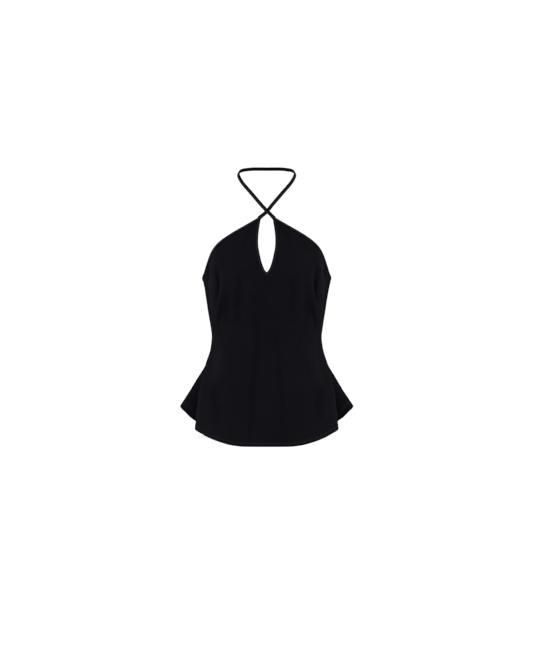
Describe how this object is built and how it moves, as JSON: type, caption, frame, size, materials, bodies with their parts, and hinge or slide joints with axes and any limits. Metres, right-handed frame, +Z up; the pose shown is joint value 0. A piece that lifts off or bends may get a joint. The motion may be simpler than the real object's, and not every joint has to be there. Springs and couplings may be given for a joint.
{
  "type": "halter neck top",
  "caption": "Sleeveless halter neck top in stretch jersey, filled out as worn, with crossed neck straps, a keyhole front, bound edges and flared side seams.",
  "frame": {"origin": "middle of the neck strap at the nape, where the garment hangs", "axes": "+Z up, +X towards the wearer's left side, the front faces -Y"},
  "size_m": [0.4088, 0.2485, 0.6551],
  "materials": {
    "jersey": "matt black stretch jersey with a faint sheen",
    "binding": "the same black jersey, folded and stitched"
  },
  "bodies": {
    "root": {"front": "jersey", "back": "jersey", "keyhole_binding": "binding", "back_binding": "binding", "strap_binding_left": "binding", "strap_binding_right": "binding"}
  },
  "joints": []
}
